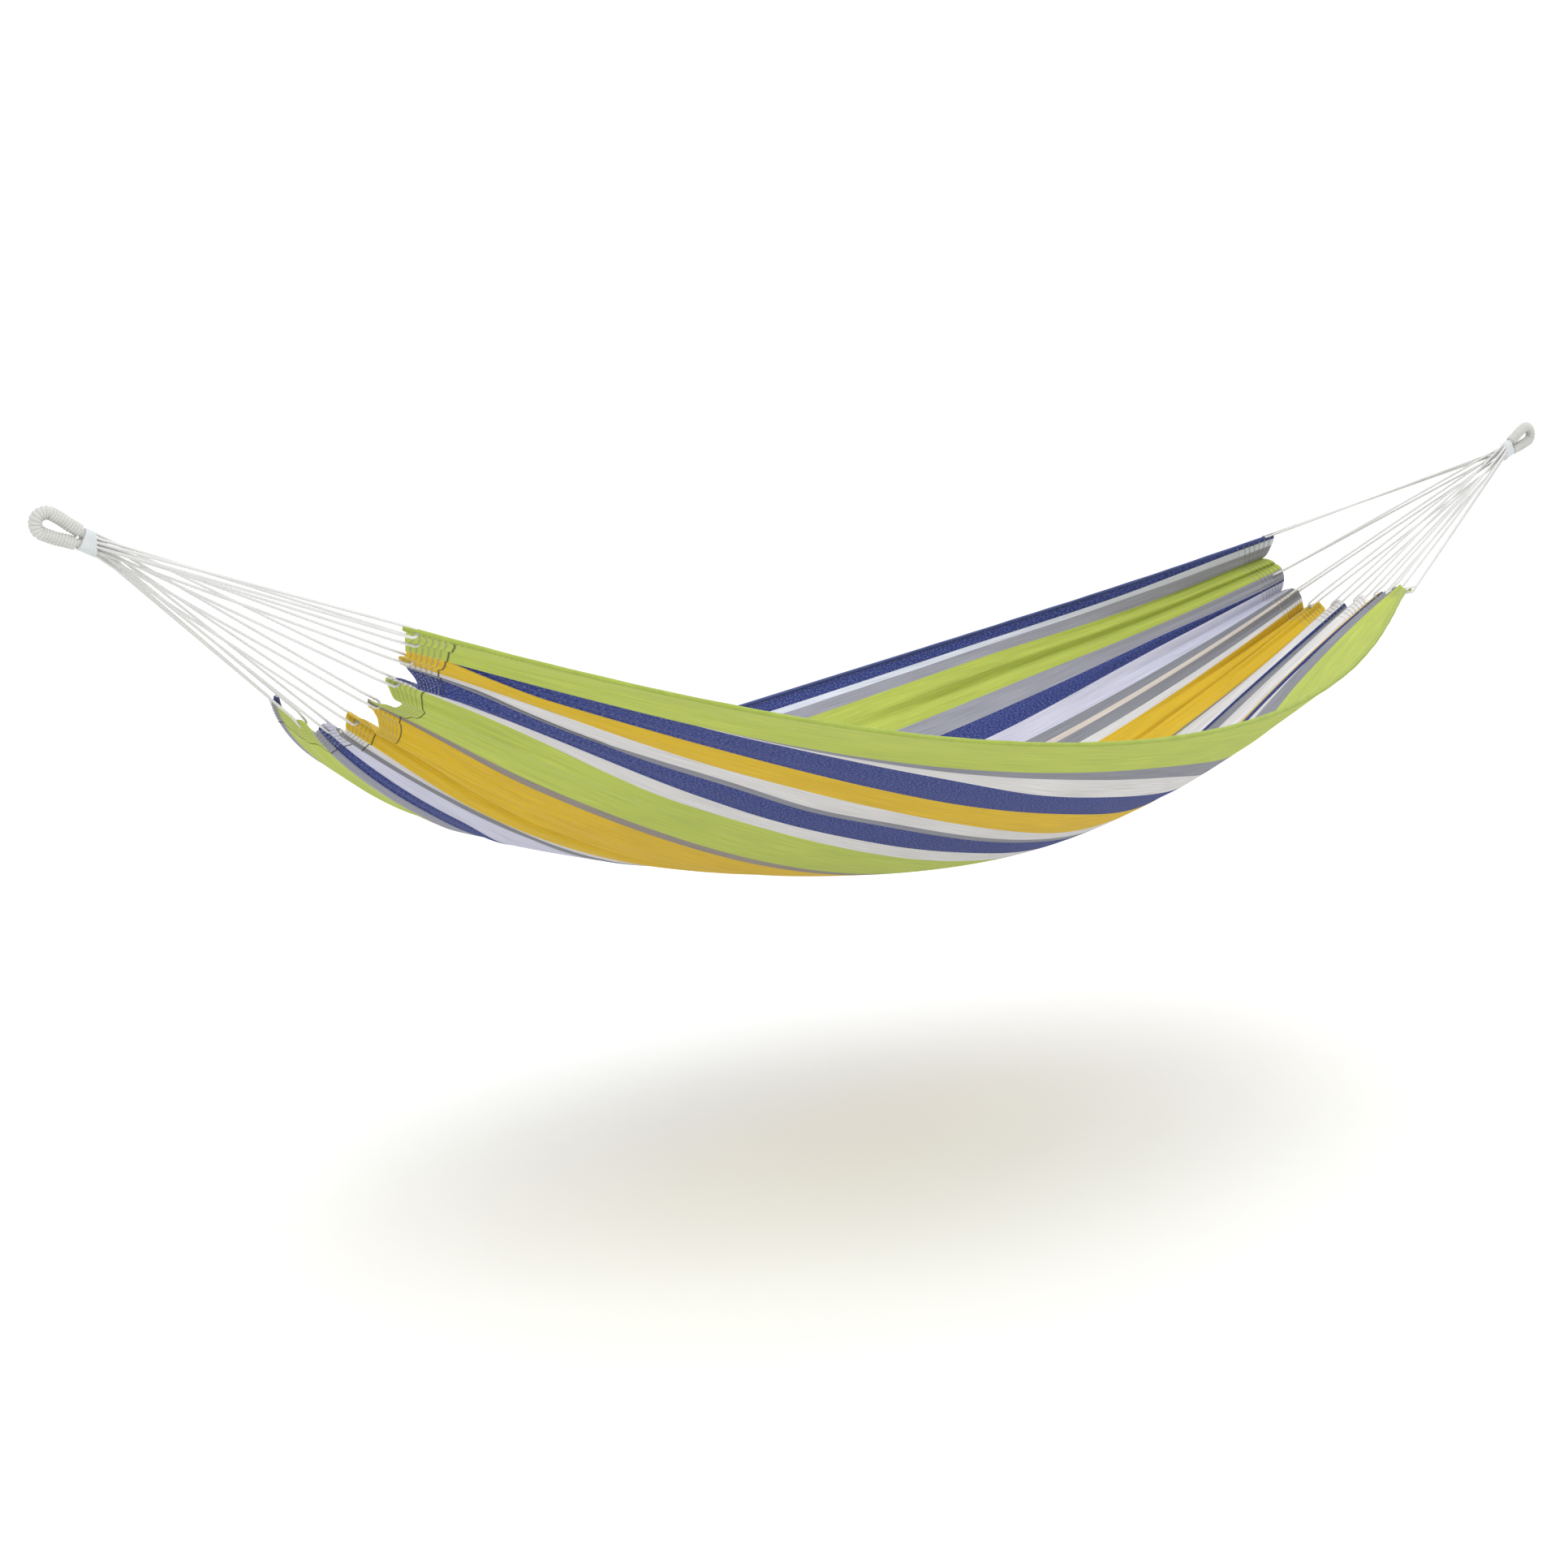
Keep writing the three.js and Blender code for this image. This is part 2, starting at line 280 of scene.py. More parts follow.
# ---------------------------------------------------------------- clew cords
CORD_LAY = 0.011
CORD_STEP = 0.0024
CORD_SIDES = 12
LEAD_LENGTH = 0.012
BURIED_LENGTH = 0.009
BURIED_SQUEEZE = 0.62
BEND_STEPS = 24


def lobe_frame(number, right_end):
    """Tip of a lobe of the hem, the direction out of the cloth there, and the normal."""
    across = np.array(number / (CORD_COUNT - 1))
    along = 1.0 if right_end else 0.0
    inside = 0.99 if right_end else 0.01
    tip = bed_point(across, np.array(along))
    out = unit(tip - bed_point(across, np.array(inside)))
    return tip, out, bed_normal(across, np.array(along))


def neck_slots(number, right_end):
    """Both places of one cord on the neck plane, the upper leg's first, as in the CAD."""
    column = next(i for i, numbers in enumerate(SLOT_COLUMNS) if number in numbers)
    ordered = sorted(SLOT_COLUMNS[column], key=lambda n: -lobe_frame(n, right_end)[0][2])
    place = ordered.index(number)
    inward = -1 if right_end else 1
    slots = []
    for row in (len(ordered) - place - 0.5, -place - 0.5):
        offset = [inward * CORD_START, (column - 2) * COLUMN_PITCH, row * ROW_PITCH / math.cos(EYE_TILT)]
        slots.append(neck_point(right_end) + offset)
    return slots


def cord_route(number, right_end):
    """From the neck through the lobe's eyelet and back, both ends run into the seizing."""
    tip, out, up = lobe_frame(number, right_end)
    upper, lower = neck_slots(number, right_end)
    outward_x = 1 if right_end else -1

    def at(outward, height):
        return tip + out * outward + up * height

    def buried(slot):
        from_neck = slot - neck_point(right_end)
        x = outward_x * BURIED_LENGTH
        y = from_neck[1] * BURIED_SQUEEZE
        z = from_neck[2] * BURIED_SQUEEZE + BURIED_LENGTH * math.tan(EYE_TILT)
        return neck_point(right_end) + [x, y, z]

    bend = []
    for i in range(BEND_STEPS + 1):
        angle = i / BEND_STEPS * math.pi
        bend.append(at(-EYELET_INSET - BEND_RADIUS * math.sin(angle), BEND_RADIUS * math.cos(angle)))
    before, after = at(LEAD_LENGTH, BEND_RADIUS), at(LEAD_LENGTH, -BEND_RADIUS)
    return [buried(upper), upper, before, *bend, after, lower, buried(lower)]


def strand_radius(run, angle):
    """Three strands laid round each other."""
    return VISIBLE_CORD / 2 * (0.86 + 0.14 * np.cos(3 * (angle - 2 * np.pi * run / CORD_LAY)))


def add_clew_cords(material):
    for right_end in (False, True):
        side = "right" if right_end else "left"
        for number in range(CORD_COUNT):
            path = even_path(cord_route(number, right_end), CORD_STEP)
            name = f"{side}_cord_{number + 1}"
            piece = add_tube(name, path, strand_radius, CORD_SIDES)
            piece.data.materials.append(material)
            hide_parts(f"{side}_clew_cord_{number + 1}")
            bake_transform(piece)


# ---------------------------------------------------------------- eyes
def catmull_rom(points, steps):
    """A smooth line through the points, steps samples between each two."""
    points = np.asarray(points, float)
    padded = np.vstack([2 * points[0] - points[1], points, 2 * points[-1] - points[-2]])
    t = np.linspace(0, 1, steps, endpoint=False)[:, None]
    out = []
    for p0, p1, p2, p3 in zip(padded[:-3], padded[1:-2], padded[2:-1], padded[3:]):
        out.append(0.5 * (2 * p1 + (p2 - p0) * t + (2 * p0 - 5 * p1 + 4 * p2 - p3) * t ** 2
                          + (3 * p1 - p0 - 3 * p2 + p3) * t ** 3))
    return np.vstack([*out, points[-1:]])


def eye_to_row(points, right_end):
    """Points drawn in the eye's plane, +X from its neck to its tip, put in the row frame."""
    points = np.asarray(points, float)
    outward = 1 if right_end else -1
    x = outward * (points[..., 0] * math.cos(EYE_TILT) - points[..., 2] * math.sin(EYE_TILT))
    z = points[..., 0] * math.sin(EYE_TILT) + points[..., 2] * math.cos(EYE_TILT)
    return np.stack([x, points[..., 1], z], -1) + neck_point(right_end)


def eye_loop(legs):
    """The middle line of the eye: out along one leg, round the tip and back along the other."""
    middle = EYE_LENGTH - WRAP_DIAMETER / 2 - EYE_HALF_WIDTH
    upper = [(x, 0, z) for x, z in legs]
    arc = []
    arc_steps = 8
    for i in range(arc_steps + 1):
        angle = math.pi / 2 - i / arc_steps * math.pi
        arc.append((middle + EYE_HALF_WIDTH * math.cos(angle), 0, EYE_HALF_WIDTH * math.sin(angle)))
    lower = [(x, 0, -z) for x, z in reversed(legs)]
    return catmull_rom([*upper, *arc, *lower], 12)


# Each leg of the eye: distance from the neck and half the gap between the legs.
SEIZED_LEG = [(0.002, LEG_HALF_GAP), (0.012, LEG_HALF_GAP), (SEIZING_LENGTH, 0.0064)]
WRAPPED_LEG = [(0.027, 0.0088), (0.033, 0.0099), (0.042, 0.011), (0.054, 0.013)]
WRAP_PITCH = 0.0044
WRAP_GROOVE = 0.0021
WRAP_STEP = 0.0005
WRAP_SIDES = 40
CORE_RADIUS = 0.0050
CORE_STEP = 0.001
CORE_SIDES = 20
SEIZING_PITCH = 0.0030
SEIZING_GROOVE = 0.0011
SEIZING_SIDES = 48
SEIZING_STEPS = 72


def wrap_radius(run, angle):
    """Turns of cord laid side by side, a little uneven."""
    phase = run / WRAP_PITCH + angle / (2 * np.pi) + 0.06 * np.sin(run / 0.0071)
    groove = np.abs(np.sin(np.pi * phase))
    wobble = 0.0002 * np.sin(3 * angle + run / 0.006)
    return WRAP_DIAMETER / 2 - WRAP_GROOVE + WRAP_GROOVE * groove ** 0.7 + wobble


def core_radius(run, angle):
    """The bundle of cords that the legs are made of."""
    return CORE_RADIUS + 0.0007 * np.abs(np.cos(2.5 * (angle - run / 0.012)))


def add_eye(right_end, cord_finish, seizing_finish):
    side = "right" if right_end else "left"
    wrap_path = eye_to_row(even_path(eye_loop(WRAPPED_LEG), WRAP_STEP), right_end)
    wrap = add_tube(f"{side}_eye_winding", wrap_path, wrap_radius, WRAP_SIDES, first_side=(0, 1, 0))
    core_path = eye_to_row(even_path(eye_loop([*SEIZED_LEG, *WRAPPED_LEG]), CORE_STEP), right_end)
    core = add_tube(f"{side}_eye_bundle", core_path, core_radius, CORE_SIDES, first_side=(0, 1, 0))
    for piece, node in ((wrap, "wrap"), (core, "core")):
        piece.data.materials.append(cord_finish)
        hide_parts(f"{side}_eye_{node}")
        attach(piece, "eyes")
    seizing = add_seizing(right_end)
    seizing.data.materials.append(seizing_finish)
    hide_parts(f"{side}_neck_seizing")
    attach(seizing, "eyes")


def stadium(radius, count):
    """Even points round two half circles joined by straight runs, in the eye's cross plane."""
    straight = 2 * LEG_HALF_GAP
    half_turn = math.pi * radius
    total = 2 * (straight + half_turn)
    points = []
    for i in range(count):
        s = i / count * total
        if s < half_turn:
            angle = s / radius
            points.append((radius * math.cos(angle), LEG_HALF_GAP + radius * math.sin(angle)))
        elif s < half_turn + straight:
            points.append((-radius, LEG_HALF_GAP - (s - half_turn)))
        elif s < 2 * half_turn + straight:
            angle = math.pi + (s - half_turn - straight) / radius
            points.append((radius * math.cos(angle), -LEG_HALF_GAP + radius * math.sin(angle)))
        else:
            points.append((radius, -LEG_HALF_GAP + (s - 2 * half_turn - straight)))
    return points


def seizing_profile():
    """Distance from the neck and radius; no radius where the turns of twine set it."""
    rim = 0.0004
    profile = [(-0.004, 0.0048), (0.0, 0.0068), (rim, 0.0088)]
    for i in range(1, SEIZING_STEPS):
        profile.append((rim + (SEIZING_LENGTH - 2 * rim) * i / SEIZING_STEPS, None))
    end = SEIZING_LENGTH
    return profile + [(end - rim, 0.0088), (end, 0.0066), (end - 0.002, 0.0058)]


def twine_radius(x, turn_share):
    """Radius over the turns of twine, turn_share of the way round."""
    turn = abs(math.sin(math.pi * (x / SEIZING_PITCH + turn_share)))
    return SEIZING_RADIUS - SEIZING_GROOVE + SEIZING_GROOVE * turn ** 0.6


def add_seizing(right_end):
    """Turns of thin twine round both legs; its lower end is cut square to the fanning cords."""
    side = "right" if right_end else "left"
    lean = math.tan(EYE_TILT)
    rings = []
    for x, fixed in seizing_profile():
        ring = []
        square = 1 - min(max(x, 0), SEIZING_LENGTH) / SEIZING_LENGTH
        for i, (y, z) in enumerate(stadium(SEIZING_RADIUS, SEIZING_SIDES)):
            radius = twine_radius(x, i / SEIZING_SIDES) if fixed is None else fixed
            share = radius / SEIZING_RADIUS
            if abs(z) > LEG_HALF_GAP:
                leg = math.copysign(LEG_HALF_GAP, z)
                z = (z - leg) * share + leg
            ring.append((x + z * lean * square, y * share, z))
        rings.append(ring)
    points = eye_to_row(rings, right_end)
    return add_mesh(f"{side}_seizing_twine", points.reshape(-1, 3), ring_faces(len(rings), SEIZING_SIDES))


# ---------------------------------------------------------------- cloth
# Each stripe edge at a hem, as shares: place across the gathered cloth, then how far along from
# that hem the place is held in full, and where it has gone back to the regular stripes.
LEFT_HEM = {
    1: (0.174, 0.12, 0.41), 2: (0.178, 0.15, 0.42), 3: (0.181, 0.00, 0.36), 4: (0.187, 0.00, 0.08),
    5: (0.262, 0.02, 0.20), 6: (0.270, 0.00, 0.13), 7: (0.275, 0.00, 0.17), 8: (0.352, 0.00, 0.20),
    9: (0.365, 0.02, 0.20), 10: (0.490, 0.00, 0.12), 11: (0.508, 0.00, 0.12), 12: (0.662, 0.00, 0.14),
    13: (0.690, 0.10, 0.30), 14: (0.698, 0.12, 0.36), 15: (0.702, 0.12, 0.36), 16: (0.709, 0.20, 0.45),
    17: (0.756, 0.12, 0.23), 18: (0.796, 0.10, 0.28), 19: (0.814, 0.10, 0.22), 20: (0.985, 0.00, 0.20),
    21: (0.992, 0.00, 0.20), 22: (0.997, 0.00, 0.20),
}
RIGHT_HEM = {
    1: (0.118, 0.00, 0.10), 2: (0.223, 0.00, 0.62), 3: (0.246, 0.06, 0.60), 4: (0.251, 0.10, 0.60),
    5: (0.272, 0.10, 0.58), 6: (0.380, 0.08, 0.50), 7: (0.4675, 0.08, 0.50), 8: (0.468, 0.08, 0.50),
    9: (0.552, 0.15, 0.52), 10: (0.554, 0.15, 0.50), 11: (0.558, 0.10, 0.48), 12: (0.698, 0.00, 0.30),
    17: (0.836, 0.10, 0.30), 18: (0.838, 0.00, 0.12), 19: (0.883, 0.06, 0.25), 20: (0.942, 0.05, 0.25),
    21: (0.966, 0.06, 0.24), 22: (0.977, 0.06, 0.24),
}
# Where a stripe edge strays between the hems: (edge, place along, spread, shift across).
STRAYS = [
    (1, 0.49, 0.13, -0.036), (2, 0.49, 0.13, -0.026), (4, 0.48, 0.10, -0.012),
    (1, 0.84, 0.09, 0.018), (2, 0.57, 0.08, -0.008), (3, 0.40, 0.06, 0.008), (3, 0.57, 0.10, -0.010),
    (5, 0.54, 0.08, 0.011), (6, 0.27, 0.05, 0.011), (7, 0.27, 0.05, 0.010), (8, 0.26, 0.07, 0.008),
    (8, 0.46, 0.06, -0.008), (22, 1.00, 0.07, 0.013),
]
# Cloth folded away at the hems: first and last stripe edge, depth, reach, and whether at the right.
TUCKS = [
    (1, 4, 0.024, 0.18, False),
    (7, 8, -0.011, 0.32, True),
    (9, 11, -0.024, 0.30, True),
    (2, 4, -0.018, 0.26, True),
    (17, 18, -0.014, 0.26, True),
    (11, 12, -0.012, 0.34, True),
]
# Long narrow creases: (place across the cut cloth, depth, half width, start, end), as shares.
CREASES = [
    (0.922, -0.014, 0.012, 0.55, 1.20),
    (0.622, -0.013, 0.013, 0.68, 1.20),
    (0.652, 0.010, 0.011, -0.20, 0.34),
]
CREASE_FADE = 0.15
# Wrinkles from both hems: waves across the cloth, phase, height, reach.
WRINKLES = [
    (13, 0.4, 0.0030, 0.55),
    (21, 1.7, 0.0022, 0.45),
    (34, 2.9, 0.0014, 0.35),
    (55, 0.9, 0.0008, 0.25),
]
LEFT_ROLL_DEPTH = 1.6
RIGHT_ROLL_DEPTH = 0.032
# Place across where each of these sets in, and the width over which it grows to full.
LEFT_LOBES_PART = (0.20, 0.07)
LEFT_LOBES_FLATTEN = (0.58, 0.14)
RIGHT_ROLLS = (0.10, 0.06)
SLACK_ACROSS = 0.87
SLACK_SPREAD = 0.13
SLACK_REACH = 0.3
HEM_ROLL_SIDES = 14
COLUMNS_ACROSS = 380
ROWS_TO_MIDDLE = 131


def held(distance, hold, reach):
    """One up to hold, then a smooth S-shaped fall to nothing at reach."""
    t = np.clip((reach - distance) / (reach - hold), 0, 1)
    return t * t * (3 - 2 * t)


def edge_places(along):
    """The across place of every stripe edge at one place along the cloth."""
    places = EDGES.copy()
    for table, distance in ((LEFT_HEM, along), (RIGHT_HEM, 1 - along)):
        for index, (at_hem, hold, reach) in table.items():
            places[index] += (at_hem - EDGES[index]) * held(distance, hold, reach)
    for index, place, spread, shift in STRAYS:
        places[index] += shift * math.exp(-((along - place) / spread) ** 2)
    return np.maximum.accumulate(places)


def rise(value, start, length):
    """Nothing up to start, one from start + length on."""
    return np.clip((value - start) / length, 0, 1)


def left_lobe_share(across):
    """The first two lobes hang together, the last ones are only slightly scalloped."""
    opening = 0.12 + 0.88 * rise(across, *LEFT_LOBES_PART)
    return opening * (1 - 0.6 * rise(across, *LEFT_LOBES_FLATTEN))


def lobe_shapes(across):
    """Height and notch share of the gathered cloth: soft at the left, rolled tubes at the right."""
    turn = np.pi * (CORD_COUNT - 1) * across
    soft = np.sin(turn) ** 2
    roll = 1 - np.abs(np.cos(turn)) ** 0.55
    share = left_lobe_share(across)
    left = LEFT_PLEAT * (1 - LEFT_ROLL_DEPTH * soft * share)
    roll = roll * rise(across, *RIGHT_ROLLS)
    right = RIGHT_PLEAT - RIGHT_ROLL_DEPTH * roll
    return left, right, soft * share, roll


def wrinkles(width, along):
    """Soft creases that fan out from both hems and die away towards the middle."""
    total = np.zeros(np.broadcast(width, along).shape)
    for count, phase, height, reach in WRINKLES:
        for distance, shift in ((along, 0.0), (1 - along, 1.3)):
            wander = 0.6 * np.sin(5 * distance + phase)
            wave = np.sin(2 * np.pi * count * width + phase + shift + wander)
            total = total + height * wave * fade(distance, reach)
    sway = 0.0025 * np.sin(2 * np.pi * (3 * width + 0.7 * along)) * np.sin(np.pi * along)
    return total + sway


def creases(width, along):
    """Narrow folds that run along the stripes."""
    total = np.zeros(np.broadcast(width, along).shape)
    for place, depth, half, start, end in CREASES:
        valley = np.clip(1 - np.abs(width - place) / half, 0, 1)
        length = np.clip((along - start) / CREASE_FADE, 0, 1) * np.clip((end - along) / CREASE_FADE, 0, 1)
        total = total + depth * valley * length
    return total


def gathered(width, along):
    """The across place of cut cloth that is gathered stripe by stripe."""
    flat_width, flat_along = width.ravel(), along.ravel()
    across = np.empty_like(flat_width)
    for value in np.unique(flat_along):
        rows = flat_along == value
        across[rows] = np.interp(flat_width[rows], EDGES, edge_places(value))
    return across.reshape(width.shape)


def far_left_slack(across, along):
    """Where the far side hangs slack, between the left hem and the middle: 0 to 1."""
    beside = np.exp(-((across - SLACK_ACROSS) / SLACK_SPREAD) ** 2)
    return beside * np.sin(np.pi * np.clip(along / SLACK_REACH, 0, 1) ** 0.6)


def cloth_point(width, along):
    """A point of the cloth as it was cut: width and along from 0 to 1."""
    width, along = np.broadcast_arrays(np.asarray(width, float), np.asarray(along, float))
    across = gathered(width, along)
    left, right, left_notch, right_notch = lobe_shapes(across)
    height = left * fade(along, PLEAT_REACH) + right * fade(1 - along, PLEAT_REACH)
    for first, last, depth, reach, right_end in TUCKS:
        middle = (EDGES[first] + EDGES[last]) / 2
        half = (EDGES[last] - EDGES[first]) / 2
        fold = np.clip(1 - np.abs(width - middle) / half, 0, 1)
        height = height + depth * fold ** 0.8 * fade(1 - along if right_end else along, reach)
    height = height + wrinkles(width, along) + creases(width, along)
    height = height - FAR_LEFT_SLACK * far_left_slack(across, along)
    notch = (LEFT_NOTCH * left_notch * fade(along, SCALLOP_REACH)
             - RIGHT_NOTCH * right_notch * fade(1 - along, SCALLOP_REACH))
    place = along + notch / CLOTH_LENGTH
    return smooth_point(across, place) + bed_normal(across, place) * height[..., None]


def along_steps():
    """Finer steps towards both hems."""
    half = 0.5 * np.linspace(0, 1, ROWS_TO_MIDDLE) ** 1.5
    return np.concatenate([half, 1 - half[-2::-1]])


def width_steps():
    """Even steps that also fall on every stripe edge."""
    values = []
    for first, last in zip(EDGES[:-1], EDGES[1:]):
        count = max(2, int(round((last - first) * COLUMNS_ACROSS)))
        values.extend(np.linspace(first, last, count, endpoint=False))
    return np.array([*values, 1.0])


def add_cloth(material):
    """The whole bed as one sheet, with its flat shape as UV."""
    widths = width_steps()
    alongs = along_steps()
    grid_width, grid_along = np.meshgrid(widths, alongs)
    points = cloth_point(grid_width, grid_along)
    columns = len(widths)
    faces = []
    for j in range(len(alongs) - 1):
        for i in range(columns - 1):
            a = j * columns + i
            faces.append((a, a + columns, a + columns + 1, a + 1))
    piece = add_mesh("hammock_cloth", points.reshape(-1, 3), faces)
    layer = piece.data.uv_layers.new(name="cut_metres")
    flat = np.stack([grid_width.ravel() * CLOTH_WIDTH, grid_along.ravel() * CLOTH_LENGTH], -1)
    corners = np.array([loop.vertex_index for loop in piece.data.loops])
    layer.data.foreach_set("uv", flat[corners].ravel())
    thick = piece.modifiers.new("thickness", "SOLIDIFY")
    thick.thickness = CLOTH_THICKNESS
    thick.offset = 0
    piece.data.materials.append(material)
    return piece


def add_edge_roll(name, far, material, node):
    """The rolled hem along one long edge, slightly oval and uneven."""
    alongs = along_steps()
    inset = HEM_ROLL_INSET / CLOTH_WIDTH
    path = cloth_point(1 - inset if far else inset, alongs)
    path = catmull_rom(path[::2], 3)

    def radius(run, angle):
        return HEM_ROLL_RADIUS + 0.0002 * np.sin(run / 0.013) + 0.0002 * np.sin(2 * angle + run / 0.03)

    piece = add_tube(name, path, radius, HEM_ROLL_SIDES, first_side=(0, 0, 1), oval=(0.72, 1.0))
    piece.data.materials.append(material)
    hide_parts(node)
    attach(piece, "sling")
    return piece


STITCH_SIDES = 6
# Along a stitch: place as a share of its length, and share of its full radius.
STITCH_PROFILE = [(-0.5, 0.35), (-0.25, 1), (0.25, 1), (0.5, 0.35)]


def thread_points(centres, directions, normals, length, radius):
    """Small pointed stitches lying on the cloth."""
    directions, normals = unit(directions), unit(normals)
    sides = np.cross(directions, normals)
    points, faces = [], []
    for centre, ahead, up, side in zip(centres, directions, normals, sides):
        base = len(points)
        for share, thick in STITCH_PROFILE:
            middle = centre + ahead * length * share
            for j in range(STITCH_SIDES):
                angle = j / STITCH_SIDES * 2 * math.pi
                points.append(middle + (side * math.cos(angle) + up * math.sin(angle)) * radius * thick)
        faces.extend(ring_faces(len(STITCH_PROFILE), STITCH_SIDES, base))
    return points, faces


def join(parts):
    """One list of points and one of faces from several pairs."""
    points, faces = [], []
    for some, some_faces in parts:
        faces.extend([tuple(v + len(points) for v in face) for face in some_faces])
        points.extend(some)
    return points, faces


def stitch_row(widths, alongs, length, radius):
    """Stitches on both faces of the cloth at the given places."""
    centre = cloth_point(widths, alongs)
    ahead = np.gradient(centre, axis=0)
    d = 1e-4
    farther, nearer = np.clip(widths + d, 0, 1), np.clip(widths - d, 0, 1)
    across_step = cloth_point(farther, alongs) - cloth_point(nearer, alongs)
    inner = np.where(np.asarray(alongs) > 0.5, -1, 1)
    along_step = (cloth_point(widths, alongs + d * inner) - centre) * np.expand_dims(inner, -1)
    normal = unit(np.cross(along_step, across_step))
    return join(thread_points(centre + normal * STITCH_LIFT * face, ahead, normal, length, radius)
                for face in (1, -1))


def add_stitches(name, rows, material):
    points, faces = join(stitch_row(*row) for row in rows)
    piece = add_mesh(name, points, faces)
    piece.data.materials.append(material)
    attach(piece, "sling")
    return piece


# Rows of stitches: how many in a row, length and radius of each.
HEM_STITCHES = (330, 0.0030, 0.00035)
BAND_STITCHES = (420, 0.0031, 0.00055)
RIM_STITCHES = (440, 0.0036, 0.00040)


def row_across(distance, right_end, count, length, radius):
    """Places of the stitches at one distance from a hem, then their length and radius."""
    share = distance / CLOTH_LENGTH
    along = 1 - share if right_end else share
    return np.linspace(0.004, 0.996, count), np.full(count, along), length, radius


def hem_rows(right_end):
    """Rows of stitching that follow the scalloped hem, inside the doubled band."""
    distances = [FIRST_STITCH_ROW + number * STITCH_ROW_PITCH for number in range(STITCH_ROW_COUNT)]
    return [row_across(distance, right_end, *HEM_STITCHES) for distance in distances]


def band_row(right_end):
    """The seam that closes the doubled band."""
    return [row_across(BAND_LENGTH, right_end, *BAND_STITCHES)]


def rim_row(far):
    """The seam beside the rolled hem of a long edge."""
    count, length, radius = RIM_STITCHES
    inset = RIM_STITCH_INSET / CLOTH_WIDTH
    width = 1 - inset if far else inset
    return [(np.full(count, width), np.linspace(0.006, 0.994, count), length, radius)]


EYELET_STITCHES = 28
EYELET_SIDES = 8
EYELET_THREAD = 0.00075
EYELET_HEIGHT = 0.0009


def eyelet_ring(centre, out, side, up):
    """One closed ring of buttonhole stitches, thick and thin in turn."""
    angle = np.linspace(0, 2 * np.pi, EYELET_STITCHES, endpoint=False)[:, None]
    line = centre + (out * np.cos(angle) + side * np.sin(angle)) * EYELET_RADIUS
    turn = np.linspace(0, 2 * np.pi, EYELET_SIDES, endpoint=False)
    points, faces = [], []
    for i, middle in enumerate(line):
        radial = unit(middle - centre)
        thick = EYELET_THREAD * (0.85 + 0.15 * (i % 2))
        here, ahead = i * EYELET_SIDES, (i + 1) % EYELET_STITCHES * EYELET_SIDES
        for j, t in enumerate(turn):
            after = (j + 1) % EYELET_SIDES
            points.append(middle + (radial * math.cos(t) + up * math.sin(t)) * thick)
            faces.append((here + j, here + after, ahead + after, ahead + j))
    return points, faces


def add_eyelets(material):
    """A ring on each face of the cloth where a cord passes through its lobe."""
    rings = []
    for right_end in (False, True):
        for number in range(CORD_COUNT):
            tip, out, up = lobe_frame(number, right_end)
            centre = tip - out * (EYELET_INSET + BEND_RADIUS)
            for height in (-EYELET_HEIGHT, EYELET_HEIGHT):
                rings.append(eyelet_ring(centre + up * height, out, np.cross(out, up), up))
    points, faces = join(rings)
    piece = add_mesh("cord_eyelets", points, faces)
    piece.data.materials.append(material)
    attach(piece, "sling")
    return piece


# ---------------------------------------------------------------- materials
def linear(colour):
    """sRGB 0..255 to the shader's linear colour."""
    values = []
    for channel in colour:
        c = channel / 255
        values.append(c / 12.92 if c <= 0.04045 else ((c + 0.055) / 1.055) ** 2.4)
    return (*values, 1.0)


